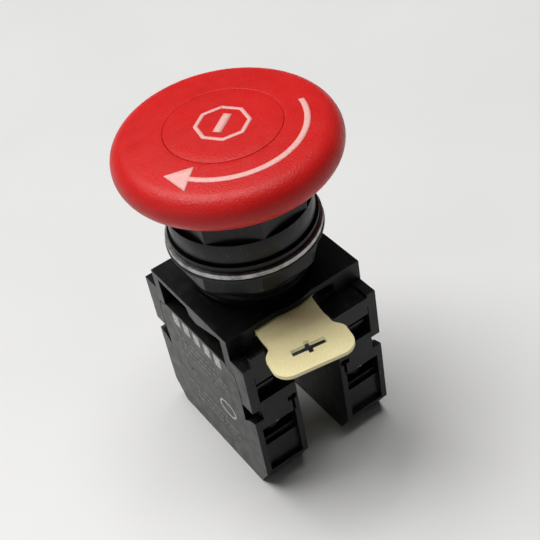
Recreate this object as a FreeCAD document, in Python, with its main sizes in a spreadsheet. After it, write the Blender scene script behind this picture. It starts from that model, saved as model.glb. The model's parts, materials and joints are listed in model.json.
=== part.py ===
import FreeCAD, Part
import math
import os
import re
import Sketcher

# Twist-to-release emergency stop button, millimetres.
# Origin: on the button's axis, at the plane where the gasket meets the panel.
# +Z: up through the red head. -Y: the front, where the locking lever stands out.
# -X and +X: the left and right contact blocks.

DIMENSIONS = {
    # head
    "cap_radius": 20.0,
    "cap_edge_radius": 3.6,
    "cap_edge_height": 18.6,
    "cap_crown": 23.1,
    "cap_dome_radius": 153.5,
    "cap_cavity_radius": 14.6,
    "cap_cavity_top": 20.4,
    "disc_radius": 10.2,
    "disc_floor": 21.5,
    "disc_gap": 0.06,
    "hub_radius": 6.5,
    "hub_bottom": 9.5,
    "cap_screw_radius": 1.5,
    "cap_screw_clear": 0.2,
    "cap_screw_head_radius": 3.0,
    "cap_screw_head_bottom": 19.0,
    "cap_screw_head_top": 21.3,
    "cap_screw_tip": 11.0,
    "cap_screw_slot_half_x": 2.7,
    "cap_screw_slot_half_y": 0.4,
    "cap_screw_slot_depth": 1.3,
    "cam_outer_radius": 7.9,
    "cam_top": 11.4,
    "cam_notch_half": 1.6,
    # stem
    "running_gap": 0.03,
    "spigot_radius": 3.5,
    "spigot_top": 17.4,
    "stem_shoulder": 9.0,
    "stem_radius": 5.6,
    "taper_top": 7.0,
    "taper_radius": 4.2,
    "tail_radius": 3.0,
    "spring_shoulder": -3.0,
    "tail_end": -16.1,
    "clip_groove_radius": 2.4,
    "clip_radius": 4.8,
    "clip_top": -15.1,
    "clip_thick": 0.7,
    "clip_mouth_half": 1.9,
    "plate_spigot_radius": 2.0,
    "push_plate_thick": 1.5,
    "push_plate_half_x": 12.4,
    "push_plate_half_y": 3.4,
    # bezel, the fixed body that passes through the panel
    "wrench_corner_radius": 13.2,
    "wrench_turn": 8.0,
    "wrench_top": 15.2,
    "collar_radius": 13.2,
    "collar_top": 7.4,
    "groove_top": 3.5,
    "groove_bottom": 2.9,
    "groove_radius": 12.8,
    "flange_radius": 13.7,
    "ring_seat_radius": 11.6,
    "upper_bore_radius": 8.3,
    "upper_bore_floor": 4.0,
    "middle_bore_radius": 6.0,
    "bezel_floor": -13.0,
    "bezel_bottom": -15.0,
    "shank_radius": 10.9,
    "shank_clear": 0.05,
    "seal_groove_radius": 9.3,
    "seal_bottom": 12.4,
    "seal_top": 13.8,
    "ring_radius": 14.3,
    "ring_top": 1.65,
    "gasket_radius": 14.45,
    "gasket_top": 0.6,
    "nut_corner_radius": 13.8,
    "nut_top": -0.02,
    "nut_bottom": -4.0,
    "nut_chamfer": 0.5,
    # latch pins in the bezel wall
    "pin_height": 2.35,
    "pin_radius": 1.2,
    "pin_hole_radius": 1.25,
    "pin_tip_centre": 5.94,
    "pin_end": 8.2,
    "pin_hole_end": 11.2,
    # adapter that joins the bezel to the contact blocks
    "adapter_top": -9.4,
    "adapter_half_x": 14.8,
    "adapter_half_y": 12.8,
    "adapter_skin": 1.3,
    "skin_radius": 13.35,
    "window_half_x": 8.75,
    "window_half_y": 10.6,
    "post_drop": 5.9,
    "wall_half_x": 12.75,
    "wall_outer_y": 12.4,
    "wall_inner_y": 10.9,
    "wall_top_drop": 3.6,
    "wall_bottom_drop": 9.9,
    "rear_skin_inner_y": 12.3,
    "adapter_bore_radius": 11.0,
    "leg_inner_x": 12.85,
    "leg_half_y": 16.9,
    "rim_top_drop": 4.65,
    "hook_top_drop": 7.3,
    "hook_shoulder_drop": 7.9,
    "hook_shoulder_y": 10.7,
    "hook_root_drop": 8.45,
    "hook_root_y": 13.0,
    "hook_throat_drop": 11.5,
    "hook_throat_y": 13.55,
    "leg_tip_drop": 15.9,
    "leg_tip_inner_y": 13.5,
    "ledge_inner_x": 5.2,
    "ledge_top_drop": 5.4,
    "ledge_step_drop": 7.6,
    "ledge_bottom_drop": 9.3,
    "stop_inner_x": 9.8,
    "stop_outer_x": 13.0,
    "stop_inner_y": 16.3,
    "stop_top_drop": 2.6,
    "lug_inner_x": 13.8,
    "lug_rear_y": 0.7,
    "lug_step_y": 0.1,
    "lug_step_drop": 2.95,
    "lug_tip_y": 2.1,
    "lug_tip_drop": 3.55,
    "lug_front_y": 9.5,
    # locking lever
    "lever_ring_radius": 12.2,
    "lever_ring_bottom_drop": 3.5,
    "lever_thick": 0.8,
    "lever_top_drop": 0.2,
    "lever_root_drop": 1.45,
    "lever_bend_top_y": 21.0,
    "lever_bend_low_y": 15.0,
    "lever_root_y": 11.5,
    "lever_neck_half": 6.1,
    "lever_paddle_half": 7.65,
    "lever_neck_end": 20.3,
    "lever_swell_mid": 21.5,
    "lever_paddle_start": 22.9,
    "lever_front": 28.3,
    "lever_corner_radius": 3.0,
    "lever_swell_radius": 2.6,
    "lever_tongue_end": 13.6,
    "lever_trim": 1.0,
    "lever_slot_y": 23.7,
    "lever_slot_half_x": 3.25,
    "lever_slot_half_y": 0.72,
    "lever_arm_half_x": 0.45,
    "lever_arm_half_y": 1.45,
    "lever_hub_half_x": 0.95,
    "lever_hub_half_y": 0.75,
    "lever_rest_angle": -11.0,
    # contact blocks
    "block_outer_x": 14.8,
    "block_inner_x": 4.95,
    "block_centre_x": 9.9,
    "block_half_y": 16.9,
    "block_bottom": -48.3,
    "block_chamfer_z": -43.6,
    "block_chamfer_y": 13.9,
    "block_ledge": -23.6,
    "block_neck_y": 12.3,
    "block_neck_top": -19.4,
    "block_upper_y": 10.4,
    "block_top": -16.9,
    "strip_inner_x": 12.8,
    "label_edge_drop": 18.8,
    "label_shoulder_drop": 19.5,
    "label_shoulder_y": 14.9,
    "label_neck_drop": 20.9,
    "label_neck_y": 13.1,
    "leg_gap": 0.18,
    "catch_inner_x": 8.6,
    "catch_outer_x": 12.4,
    "catch_lip_y": 15.6,
    "catch_panel_y": 15.0,
    "catch_top_drop": 11.4,
    "catch_lip_drop": 12.0,
    "cover_thick": 1.2,
    "outer_wall": 1.2,
    "well_half_y": 8.9,
    "well_floor": -23.0,
    "deck_thick": 1.4,
    "cavity_half_y": 8.2,
    "cavity_bottom": -46.9,
    "pocket_top": -30.7,
    "pocket_sill": -35.4,
    "pocket_depth": 7.4,
    "sill_step": -36.6,
    "sill_depth": 1.6,
    "recess_bottom": -43.0,
    "recess_depth": 0.9,
    "driver_hole_y": 12.0,
    "driver_hole_radius": 1.9,
    "head_room_radius": 2.5,
    "head_room_floor": -37.0,
    "snap_notch_inner_x": 5.3,
    "snap_notch_outer_x": 7.2,
    "snap_notch_top": -26.6,
    "snap_notch_bottom": -27.8,
    "snap_notch_depth": 1.4,
    "snap_stem_half": 0.3,
    # plungers and contacts
    "plunger_half_x": 2.3,
    "plunger_half_y": 3.2,
    "plunger_gap": 0.05,
    "plunger_bottom": -38.0,
    "window_floor_wall": 1.0,
    "strip_top": -31.0,
    "strip_thick": 0.8,
    "strip_half_x": 2.0,
    "strip_inner_y": 4.4,
    "strip_outer_y": 16.2,
    "rivet_y": 5.6,
    "rivet_radius": 1.3,
    "rivet_height": 0.5,
    "bridge_thick": 0.6,
    "bridge_half_x": 1.7,
    "bridge_half_y": 7.2,
    "contact_gap": 2.5,
    "closed_gap": 0.02,
    "upper_window_top": -22.6,
    # terminal screws and clamps
    "screw_radius": 1.5,
    "screw_head_radius": 2.4,
    "screw_head_top": -34.2,
    "screw_head_bottom": -36.4,
    "screw_top": -30.8,
    "clamp_top": -33.2,
    "screw_slot_half": 0.35,
    "screw_slot_depth": 1.0,
    "clamp_half_x": 2.9,
    "clamp_half_y": 2.4,
    "clamp_hole_radius": 1.6,
    # coil springs: mean radius and wire radius
    "return_coil_radius": 4.0,
    "return_wire": 0.35,
    "contact_coil_radius": 1.2,
    "contact_wire": 0.15,
    "plunger_coil_radius": 1.6,
    "plunger_wire": 0.2,
    "latch_coil_radius": 0.8,
    "latch_wire": 0.12,
    "return_turns": 6,
    "contact_turns": 5,
    "plunger_turns": 7,
    "latch_turns": 6,
    "coil_clear": 0.03,
}

SIDES = {"left": -1, "right": 1}
ENDS = {"front": -1, "rear": 1}
MIN_CUT = 1e-4

doc = FreeCAD.newDocument("emergency_stop_button")
sheet = doc.addObject("Spreadsheet::Sheet", "dims")
for row, (alias, number) in enumerate(DIMENSIONS.items(), start=1):
    sheet.set(f"A{row}", alias)
    sheet.set(f"B{row}", str(number))
    sheet.setAlias(f"B{row}", alias)
doc.recompute()

pieces = []


def formula(text):
    """A formula of dimension names as a spreadsheet expression."""
    return re.sub(r"[a-z_]+", lambda w: f"dims.{w[0]}" if w[0] in DIMENSIONS else w[0], str(text))


def value(text):
    """The number that a formula has now."""
    found = sheet.evalExpression(formula(text))
    return float(getattr(found, "Value", found))


def bind(thing, name, text):
    thing.setExpression(name, formula(text))


def keep(thing):
    """Marks an object as a finished sub-part."""
    pieces.append(thing)
    return thing


def minus(text):
    return f"-({text})"


def span(side, near, far):
    """Low and high X of a stretch from near to far on one side of the middle."""
    return (near, far) if side > 0 else (minus(far), minus(near))


def new_body(name):
    body = doc.addObject("PartDesign::Body", name)
    body.Label = name
    return body


def new_sketch(body, name, role, offset="0"):
    """An empty sketch on one of the body's origin planes, moved along the plane's normal."""
    sketch = body.newObject("Sketcher::SketchObject", name)
    plane = next(f for f in body.Origin.OriginFeatures if f.Role == role)
    sketch.AttachmentSupport = [(plane, "")]
    sketch.MapMode = "FlatFace"
    bind(sketch, "AttachmentOffset.Base.z", offset)
    return sketch


def pin_point(sketch, edge, end, u, v):
    """Ties an edge's end to a place given by two formulas."""
    for kind, text in (("DistanceX", u), ("DistanceY", v)):
        number = value(text)
        index = sketch.addConstraint(Sketcher.Constraint(kind, -1, 1, edge, end, number))
        bind(sketch, f"Constraints[{index}]", text)


def arc_middle(start, end, radius):
    """The middle of the short arc between two points. A radius over 0 puts its centre to the left."""
    chord = end.sub(start)
    left = FreeCAD.Vector(-chord.y, chord.x, 0).normalize()
    rise = abs(radius) - math.sqrt(max(radius * radius - (chord.Length / 2) ** 2, 0))
    return (start + end) * 0.5 - left * math.copysign(rise, radius)


def draw_outline(sketch, points):
    """A closed outline. A point is (u, v), or (u, v, radius) where an arc goes on to the next point."""
    places = [FreeCAD.Vector(value(p[0]), value(p[1]), 0) for p in points]
    starts, ends = [], []
    for i, point in enumerate(points):
        here, there = places[i], places[(i + 1) % len(points)]
        if len(point) == 3:
            edge = sketch.addGeometry(Part.Arc(here, arc_middle(here, there, value(point[2])), there))
        else:
            edge = sketch.addGeometry(Part.LineSegment(here, there))
        first, second = (sketch.getPoint(edge, n).distanceToPoint(here) for n in (1, 2))
        forward = first < second
        starts.append((edge, 1 if forward else 2))
        ends.append((edge, 2 if forward else 1))
    for i, point in enumerate(points):
        follower = starts[(i + 1) % len(points)]
        sketch.addConstraint(Sketcher.Constraint("Coincident", *ends[i], *follower))
        pin_point(sketch, *starts[i], point[0], point[1])
        if len(point) == 3:
            radius = Sketcher.Constraint("Radius", starts[i][0], abs(value(point[2])))
            index = sketch.addConstraint(radius)
            bind(sketch, f"Constraints[{index}]", f"abs({point[2]})")


def draw_circle(sketch, u, v, radius):
    centre = FreeCAD.Vector(value(u), value(v), 0)
    circle = Part.Circle(centre, FreeCAD.Vector(0, 0, 1), value(radius))
    edge = sketch.addGeometry(circle)
    pin_point(sketch, edge, 3, u, v)
    index = sketch.addConstraint(Sketcher.Constraint("Radius", edge, value(radius)))
    bind(sketch, f"Constraints[{index}]", radius)


def rectangle(u_low, u_high, v_low, v_high):
    return [(u_low, v_low), (u_high, v_low), (u_high, v_high), (u_low, v_high)]


def octagon(corner, turned="0"):
    """Outline of an octagon from its corner radius, turned by some degrees from square to the axes."""
    angles = [f"({22.5 + 45 * i} + {turned}) * 1 deg" for i in range(8)]
    return [(f"{corner} * cos({angle})", f"{corner} * sin({angle})") for angle in angles]


def start_of(role, low, high):
    """Where a sketch starts so that its feature runs along the normal and fills low to high."""
    return minus(high) if role == "XZ_Plane" else low


def add_feature(body, kind, name, role, low, high, draw):
    """A pad or pocket between two planes. draw puts the outline into its sketch."""
    before = body.Shape.Volume if body.Tip else 0.0
    sketch = new_sketch(body, f"{name}_sketch", role, start_of(role, low, high))
    draw(sketch)
    feature = body.newObject(f"PartDesign::{kind}", name)
    feature.Profile = sketch
    bind(feature, "Length", f"({high}) - ({low})")
    feature.Reversed = kind == "Pocket"
    doc.recompute()
    change = body.Shape.Volume - before
    if (change if kind == "Pad" else -change) < MIN_CUT:
        raise ValueError(f"{body.Label}: {name} changes nothing")
    return feature


def pad(body, name, role, low, high, points):
    return add_feature(body, "Pad", name, role, low, high, lambda s: draw_outline(s, points))


def pad_circle(body, name, role, low, high, circle):
    return add_feature(body, "Pad", name, role, low, high, lambda s: draw_circle(s, *circle))


def pocket(body, name, role, low, high, points):
    return add_feature(body, "Pocket", name, role, low, high, lambda s: draw_outline(s, points))


def pocket_circle(body, name, role, low, high, circle):
    return add_feature(body, "Pocket", name, role, low, high, lambda s: draw_circle(s, *circle))


def turn(body, name, points, kind="Revolution"):
    """A solid of revolution about the Z axis, or a groove, from an outline in the XZ plane."""
    sketch = new_sketch(body, f"{name}_sketch", "XZ_Plane")
    draw_outline(sketch, points)
    feature = body.newObject(f"PartDesign::{kind}", name)
    feature.Profile = sketch
    feature.ReferenceAxis = (sketch, ["V_Axis"])
    feature.Angle = 360.0
    doc.recompute()
    return feature


def ring(name, inner, outer, bottom, top):
    body = new_body(name)
    turn(body, "section", rectangle(inner, outer, bottom, top))
    return keep(body)


def polar(body, name, feature, count):
    """Repeats a feature round the Z axis."""
    pattern = body.newObject("PartDesign::PolarPattern", name)
    pattern.Originals = [feature]
    axis = next(f for f in body.Origin.OriginFeatures if f.Role == "Z_Axis")
    pattern.Axis = (axis, [""])
    pattern.Angle = 360.0
    pattern.Occurrences = count
    body.Tip = pattern
    doc.recompute()
    return pattern


def dome_height(radius):
    """Height of the head's crowned top at a radius."""
    return f"cap_crown - cap_dome_radius + sqrt(cap_dome_radius ^ 2 - ({radius}) ^ 2)"


def mushroom_cap():
    body = new_body("mushroom_cap")
    scale = "(cap_dome_radius / (cap_dome_radius - cap_edge_radius))"
    edge = "(cap_radius - cap_edge_radius)"
    dome_centre = "(cap_crown - cap_dome_radius)"
    inner = "disc_radius + disc_gap"
    turn(body, "shell", [
        (inner, dome_height(inner), "-cap_dome_radius"),
        (f"{edge} * {scale}", f"(cap_edge_height - {dome_centre}) * {scale} + {dome_centre}",
         "-cap_edge_radius"),
        ("cap_radius", "cap_edge_height", "-cap_edge_radius"),
        (edge, "cap_edge_height - cap_edge_radius"),
        ("cap_cavity_radius", "cap_edge_height - cap_edge_radius"),
        ("cap_cavity_radius", "cap_cavity_top"),
        ("hub_radius", "cap_cavity_top"),
        ("hub_radius", "hub_bottom"),
        ("spigot_radius + running_gap", "hub_bottom"),
        ("spigot_radius + running_gap", "spigot_top + running_gap"),
        ("cap_screw_radius + cap_screw_clear", "spigot_top + running_gap"),
        ("cap_screw_radius + cap_screw_clear", "cap_screw_head_bottom - running_gap"),
        ("cap_screw_head_radius + cap_screw_clear", "cap_screw_head_bottom - running_gap"),
        ("cap_screw_head_radius + cap_screw_clear", "disc_floor"),
        (inner, "disc_floor"),
    ])
    return keep(body)


def cap_inlay_disc():
    body = new_body("cap_inlay_disc")
    turn(body, "disc", [
        ("0", "disc_floor"),
        ("disc_radius", "disc_floor"),
        ("disc_radius", dome_height("disc_radius"), "cap_dome_radius"),
        ("0", "cap_crown"),
    ])
    return keep(body)


def cap_screw():
    body = new_body("cap_screw")
    turn(body, "shaft", [
        ("0", "cap_screw_tip"),
        ("cap_screw_radius", "cap_screw_tip"),
        ("cap_screw_radius", "cap_screw_head_bottom"),
        ("cap_screw_head_radius", "cap_screw_head_bottom"),
        ("cap_screw_head_radius", "cap_screw_head_top"),
        ("0", "cap_screw_head_top"),
    ])
    slot = rectangle("-cap_screw_slot_half_x", "cap_screw_slot_half_x",
                     "-cap_screw_slot_half_y", "cap_screw_slot_half_y")
    pocket(body, "slot", "XY_Plane", "cap_screw_head_top - cap_screw_slot_depth",
           "cap_screw_head_top", slot)
    return keep(body)


def release_cam():
    body = new_body("release_cam")
    turn(body, "ring", rectangle("hub_radius", "cam_outer_radius", "hub_bottom", "cam_top"))
    ramp = rectangle("-cam_notch_half", "cam_notch_half", "0", "2 * cam_outer_radius")
    notch = pocket(body, "ramp_notch", "XY_Plane", "hub_bottom", "(hub_bottom + cam_top) / 2", ramp)
    polar(body, "ramp_notches", notch, 4)
    return keep(body)


def stem():
    body = new_body("stem")
    turn(body, "shaft", [
        ("0", "tail_end - push_plate_thick"),
        ("plate_spigot_radius", "tail_end - push_plate_thick"),
        ("plate_spigot_radius", "tail_end"),
        ("tail_radius", "tail_end"),
        ("tail_radius", "clip_top - clip_thick"),
        ("clip_groove_radius", "clip_top - clip_thick"),
        ("clip_groove_radius", "clip_top"),
        ("tail_radius", "clip_top"),
        ("tail_radius", "spring_shoulder"),
        ("taper_radius", "spring_shoulder"),
        ("taper_radius", "0"),
        ("stem_radius", "taper_top"),
        ("stem_radius", "stem_shoulder"),
        ("spigot_radius", "stem_shoulder"),
        ("spigot_radius", "spigot_top"),
        ("cap_screw_radius", "spigot_top"),
        ("cap_screw_radius", "cap_screw_tip"),
        ("0", "cap_screw_tip"),
    ])
    return keep(body)


def stem_clip():
    """Open retaining clip that snaps into the stem's groove under the bezel."""
    body = new_body("stem_clip")
    turn(body, "washer", rectangle("clip_groove_radius", "clip_radius",
                                   "clip_top - clip_thick", "clip_top"))
    mouth = rectangle("-clip_mouth_half", "clip_mouth_half", "0", "2 * clip_radius")
    pocket(body, "mouth", "XY_Plane", "clip_top - clip_thick", "clip_top", mouth)
    return keep(body)


def pressure_plate():
    body = new_body("pressure_plate")
    pad(body, "bar", "XY_Plane", "tail_end - push_plate_thick", "tail_end",
        rectangle("-push_plate_half_x", "push_plate_half_x",
                  "-push_plate_half_y", "push_plate_half_y"))
    pocket_circle(body, "stem_hole", "XY_Plane", "tail_end - push_plate_thick", "tail_end",
                  ("0", "0", "plate_spigot_radius"))
    return keep(body)


def bezel_body():
    body = new_body("bezel_body")
    turn(body, "barrel", [
        ("tail_radius + running_gap", "bezel_bottom"),
        ("shank_radius", "bezel_bottom"),
        ("shank_radius", "gasket_top"),
        ("ring_seat_radius", "gasket_top"),
        ("ring_seat_radius", "ring_top"),
        ("flange_radius", "ring_top"),
        ("flange_radius", "groove_bottom"),
        ("groove_radius", "groove_bottom"),
        ("groove_radius", "groove_top"),
        ("collar_radius", "groove_top"),
        ("collar_radius", "collar_top"),
        ("upper_bore_radius", "collar_top"),
        ("upper_bore_radius", "upper_bore_floor"),
        ("middle_bore_radius", "upper_bore_floor"),
        ("middle_bore_radius", "bezel_floor"),
        ("tail_radius + running_gap", "bezel_floor"),
    ])
    pad(body, "wrench_flats", "XY_Plane", "collar_top", "wrench_top",
        octagon("wrench_corner_radius", "wrench_turn"))
    pocket_circle(body, "upper_bore", "XY_Plane", "collar_top", "wrench_top",
                  ("0", "0", "upper_bore_radius"))
    turn(body, "seal_groove", rectangle("middle_bore_radius", "seal_groove_radius",
                                        "seal_bottom", "seal_top"), kind="Groove")
    pocket_circle(body, "latch_holes", "YZ_Plane", "-pin_hole_end", "pin_hole_end",
                  ("0", "pin_height", "pin_hole_radius"))
    return keep(body)


def mounting_nut():
    body = new_body("mounting_nut")
    pad(body, "octagon", "XY_Plane", "nut_bottom", "nut_top", octagon("nut_corner_radius"))
    pocket_circle(body, "thread_bore", "XY_Plane", "nut_bottom", "nut_top",
                  ("0", "0", "shank_radius + shank_clear"))
    turn(body, "lower_chamfer", [
        ("nut_corner_radius - nut_chamfer", "nut_bottom"),
        ("nut_corner_radius + nut_chamfer", "nut_bottom"),
        ("nut_corner_radius + nut_chamfer", "nut_bottom + nut_chamfer"),
        ("nut_corner_radius", "nut_bottom + nut_chamfer"),
    ], kind="Groove")
    return keep(body)


def latch_pin(name, side):
    """Round-nosed pin that rides on the stem's taper."""
    body = new_body(name)
    sketch = new_sketch(body, "nose_sketch", "XY_Plane", "pin_height")
    tip, centre, end = (f"{side} * ({x})" for x in
                        ("pin_tip_centre - pin_radius", "pin_tip_centre", "pin_end"))
    draw_outline(sketch, [
        (tip, "0", f"{side} * pin_radius"),
        (centre, "-pin_radius"),
        (end, "-pin_radius"),
        (end, "0"),
    ])
    feature = body.newObject("PartDesign::Revolution", "nose")
    feature.Profile = sketch
    feature.ReferenceAxis = (sketch, ["H_Axis"])
    feature.Angle = 360.0
    return keep(body)


def coil(name, radius, wire, bottom, top, turns, x="0"):
    """A round-wire compression spring that stands between two seats."""
    body = new_body(name)
    height = f"(({top}) - ({bottom}) - 2 * ({wire} + coil_clear))"
    sketch = new_sketch(body, "wire_section", "XZ_Plane")
    draw_circle(sketch, radius, f"({bottom}) + {wire} + coil_clear", wire)
    helix = body.newObject("PartDesign::AdditiveHelix", "turns")
    helix.Profile = sketch
    helix.ReferenceAxis = (sketch, ["V_Axis"])
    helix.Mode = "pitch-height-angle"
    bind(helix, "Pitch", f"{height} / {turns}")
    bind(helix, "Height", height)
    bind(body, "Placement.Base.x", x)
    doc.recompute()
    return body


def latch_springs():
    """Two small springs that push the latch pins inwards, one in each pin hole."""
    coils = []
    for word, side in SIDES.items():
        spring = coil(f"latch_spring_{word}", "latch_coil_radius", "latch_wire",
                      "pin_end", "pin_hole_end", "latch_turns")
        spring.Placement.Rotation = FreeCAD.Rotation(FreeCAD.Vector(0, 1, 0), 90 * side)
        bind(spring, "Placement.Base.z", "pin_height")
        coils.append(spring)
    group = doc.addObject("Part::Compound", "latch_springs")
    group.Label = "latch_springs"
    group.Links = coils
    return keep(group)


def drop(text):
    """A height measured down from the adapter's top."""
    return f"adapter_top - ({text})"


def leg_outline(end):
    """Side view of an adapter leg, from its post down to the tip of its hook."""
    corners = [
        ("window_half_y", "adapter_top"),
        ("window_half_y", drop("hook_top_drop")),
        ("hook_shoulder_y", drop("hook_shoulder_drop")),
        ("hook_root_y", drop("hook_root_drop")),
        ("hook_throat_y", drop("hook_throat_drop")),
        ("leg_tip_inner_y", drop("leg_tip_drop")),
        ("leg_half_y", drop("leg_tip_drop")),
        ("leg_half_y", drop("rim_top_drop")),
        ("adapter_half_y", drop("rim_top_drop")),
        ("adapter_half_y", "adapter_top"),
    ]
    return [(f"{end} * {y}", z) for y, z in corners]


def adapter_plate(body):
    """Top plate, with a round lip over the lever's ring at the front."""
    lip_x = "sqrt(skin_radius ^ 2 - adapter_half_y ^ 2)"
    low = drop("adapter_skin")
    pad(body, "plate", "XY_Plane", low, "adapter_top", [
        ("-adapter_half_x", "adapter_half_y"),
        ("-adapter_half_x", "-adapter_half_y"),
        (minus(lip_x), "-adapter_half_y", "skin_radius"),
        (lip_x, "-adapter_half_y"),
        ("adapter_half_x", "-adapter_half_y"),
        ("adapter_half_x", "adapter_half_y"),
    ])
    pocket_circle(body, "shank_bore", "XY_Plane", low, "adapter_top",
                  ("0", "0", "adapter_bore_radius"))


def adapter_corner(body, word, side, end):
    """One corner of the adapter: its post, its hooked leg and the ledge between them."""
    pad(body, f"{word}_post", "XY_Plane", drop("post_drop"), "adapter_top",
        rectangle(*span(side, "window_half_x", "adapter_half_x"),
                  *span(end, "window_half_y", "adapter_half_y")))
    pad(body, f"{word}_leg", "YZ_Plane", *span(side, "leg_inner_x", "adapter_half_x"),
        leg_outline(end))
    ledge_y = span(end, "wall_inner_y", "leg_half_y")
    pad(body, f"{word}_ledge", "XY_Plane", drop("ledge_step_drop"), drop("ledge_top_drop"),
        rectangle(*span(side, "ledge_inner_x", "leg_inner_x"), *ledge_y))
    pad(body, f"{word}_ledge_foot", "XY_Plane", drop("ledge_bottom_drop"), drop("ledge_step_drop"),
        rectangle(*span(side, "ledge_inner_x", "wall_half_x"), *ledge_y))


def adapter_body():
    body = new_body("adapter_body")
    adapter_plate(body)
    for side_word, side in SIDES.items():
        for end_word, end in ENDS.items():
            adapter_corner(body, f"{side_word}_{end_word}", side, end)
    pad(body, "lever_stop", "XY_Plane", drop("ledge_top_drop"), drop("stop_top_drop"),
        rectangle("-stop_outer_x", "-stop_inner_x", "-leg_half_y", "-stop_inner_y"))
    pad(body, "left_side_lug", "YZ_Plane", "-adapter_half_x", "-lug_inner_x", [
        ("lug_rear_y", drop("adapter_skin")),
        ("lug_step_y", drop("lug_step_drop")),
        ("-lug_tip_y", drop("lug_tip_drop")),
        ("-lug_front_y", drop("adapter_skin")),
    ])
    for end_word, end in ENDS.items():
        wall_y = span(end, "wall_inner_y", "wall_outer_y")
        pad(body, f"{end_word}_wall", "XZ_Plane", *wall_y,
            rectangle("-wall_half_x", "wall_half_x", drop("wall_bottom_drop"), drop("wall_top_drop")))
    pad(body, "rear_skin", "XZ_Plane", "rear_skin_inner_y", "adapter_half_y",
        rectangle("-window_half_x", "window_half_x", drop("wall_top_drop"), drop("adapter_skin")))
    pad(body, "rear_skin_foot", "XZ_Plane", "wall_inner_y", "adapter_half_y",
        rectangle("-window_half_x", "window_half_x", drop("post_drop"), drop("wall_top_drop")))
    return keep(body)


def lever_side(side):
    """What is trimmed off one side of the lever's blank: beside the neck and round the front corner."""
    outer_x = "(lever_paddle_half + lever_trim)"
    corner_x = "(lever_paddle_half - lever_corner_radius)"
    corners = [
        ("lever_neck_half", "-lever_root_y"),
        ("lever_neck_half", "-lever_neck_end", "-lever_swell_radius"),
        ("(lever_neck_half + lever_paddle_half) / 2", "-lever_swell_mid", "lever_swell_radius"),
        ("lever_paddle_half", "-lever_paddle_start"),
        ("lever_paddle_half", "-(lever_front - lever_corner_radius)", "lever_corner_radius"),
        (corner_x, "-lever_front"),
        (corner_x, "-(lever_front + lever_trim)"),
        (outer_x, "-(lever_front + lever_trim)"),
        (outer_x, "-lever_root_y"),
    ]
    return [(f"{side} * {x}", y, *(f"{-side} * {r}" for r in arc)) for x, y, *arc in corners]


def lever_profile():
    """The lever's sheet from the side: a flat paddle, a double bend down and a flat root."""
    fall = "(lever_root_drop - lever_top_drop)"
    bend = f"((lever_bend_top_y - lever_bend_low_y) ^ 2 + {fall} ^ 2) / (4 * {fall})"
    path = [
        ("lever_front", "lever_top_drop"),
        ("lever_bend_top_y", "lever_top_drop"),
        ("(lever_bend_top_y + lever_bend_low_y) / 2", "(lever_top_drop + lever_root_drop) / 2"),
        ("lever_bend_low_y", "lever_root_drop"),
        ("lever_root_y", "lever_root_drop"),
    ]
    arcs = [(), (f"-({bend})",), (f"({bend})",), (), ()]
    above = [(minus(y), drop(z), *arc) for (y, z), arc in zip(path, arcs)]
    below = [(minus(y), drop(f"{z} + lever_thick"), *arc) for (y, z), arc in zip(reversed(path), arcs)]
    return above + below


def lock_lever():
    """Ring under the adapter's top plate with a bent sheet paddle that swings at the front."""
    body = new_body("lock_lever")
    ring_z = (drop("lever_ring_bottom_drop"), drop("lever_root_drop"))
    turn(body, "ring", rectangle("shank_radius + shank_clear", "lever_ring_radius", *ring_z))
    ring_edge = "((shank_radius + lever_ring_radius) / 2)"
    tongue_low = f"-sqrt({ring_edge} ^ 2 - lever_neck_half ^ 2)"
    pad(body, "tongue", "XY_Plane", *ring_z, [
        ("-lever_neck_half", tongue_low),
        ("-lever_neck_half", "-lever_tongue_end"),
        ("lever_neck_half", "-lever_tongue_end"),
        ("lever_neck_half", tongue_low, f"-{ring_edge}"),
    ])
    pad(body, "bent_sheet", "YZ_Plane", "-lever_paddle_half", "lever_paddle_half", lever_profile())
    sheet_low = drop("lever_root_drop + lever_thick")
    for word, side in SIDES.items():
        pocket(body, f"{word}_trim", "XY_Plane", sheet_low, "adapter_top", lever_side(side))
    cuts = (("driver_slot", "lever_slot_half_x", "lever_slot_half_y"),
            ("slot_arm", "lever_arm_half_x", "lever_arm_half_y"),
            ("slot_hub", "lever_hub_half_x", "lever_hub_half_y"))
    for name, half_x, half_y in cuts:
        pocket(body, name, "XY_Plane", sheet_low, "adapter_top",
               rectangle(minus(half_x), half_x, f"-lever_slot_y - {half_y}", f"-lever_slot_y + {half_y}"))
    body.Placement.Rotation = FreeCAD.Rotation(FreeCAD.Vector(0, 0, 1), value("lever_rest_angle"))
    bind(body, "Placement.Rotation.Angle", "lever_rest_angle")
    return keep(body)


def inboard_outline():
    """Side view of a block away from the adapter's legs."""
    return [
        ("-block_chamfer_y", "block_bottom"),
        ("block_chamfer_y", "block_bottom"),
        ("block_half_y", "block_chamfer_z"),
        ("block_half_y", "block_ledge"),
        ("block_neck_y", "block_ledge"),
        ("block_neck_y", "block_neck_top"),
        ("block_upper_y", "block_neck_top"),
        ("block_upper_y", "block_top"),
        ("-block_upper_y", "block_top"),
        ("-block_upper_y", "block_neck_top"),
        ("-block_neck_y", "block_neck_top"),
        ("-block_neck_y", "block_ledge"),
        ("-block_half_y", "block_ledge"),
        ("-block_half_y", "block_chamfer_z"),
    ]


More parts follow.
